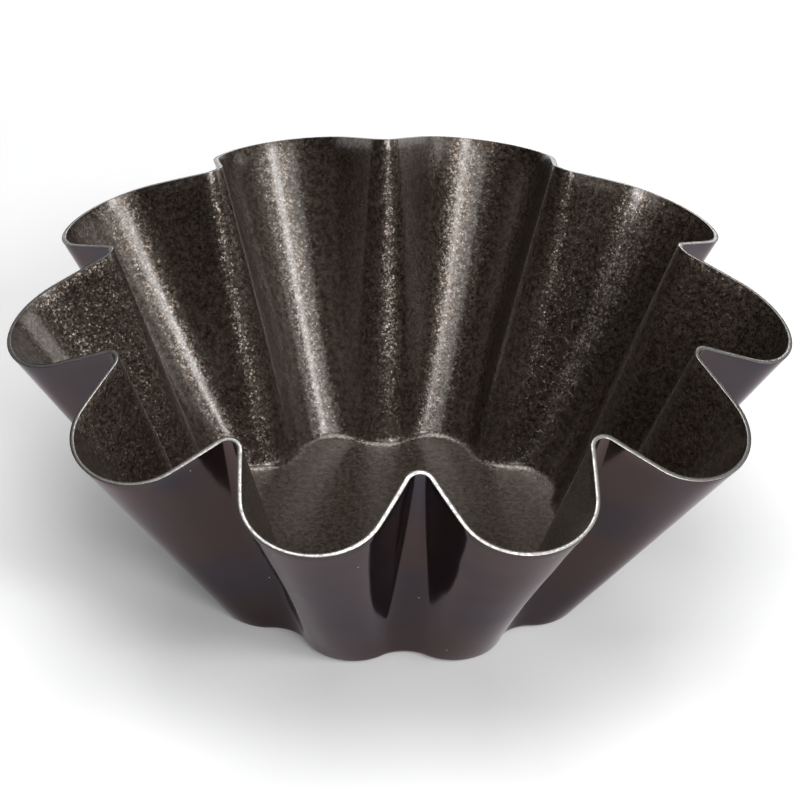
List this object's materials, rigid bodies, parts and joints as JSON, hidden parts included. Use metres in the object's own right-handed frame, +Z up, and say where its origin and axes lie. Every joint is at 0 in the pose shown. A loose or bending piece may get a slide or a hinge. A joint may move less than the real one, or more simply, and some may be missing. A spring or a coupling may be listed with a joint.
{
  "type": "brioche mould",
  "caption": "Round fluted brioche mould: one flared pressed steel cup on a flat base, non-stick coated inside and lacquered outside.",
  "frame": {"origin": "centre of the flat base, on the surface that the mould stands on", "axes": "+Z up along the mould's axis; +X through the middle of one lobe, +Y through one fold"},
  "size_m": [0.1, 0.0962, 0.0385],
  "materials": {
    "bare_steel": "bare tin-plated sheet steel, seen only at the trimmed rim edge",
    "nonstick_coat": "dark brown-black non-stick coat with a fine metallic speckle and an orange-peel texture, satin",
    "outer_lacquer": "smooth dark brown-grey baked lacquer, glossy"
  },
  "bodies": {
    "root": {"steel_shell": "bare_steel", "inner_nonstick_coat": "nonstick_coat", "outer_lacquer_coat": "outer_lacquer"}
  },
  "joints": []
}
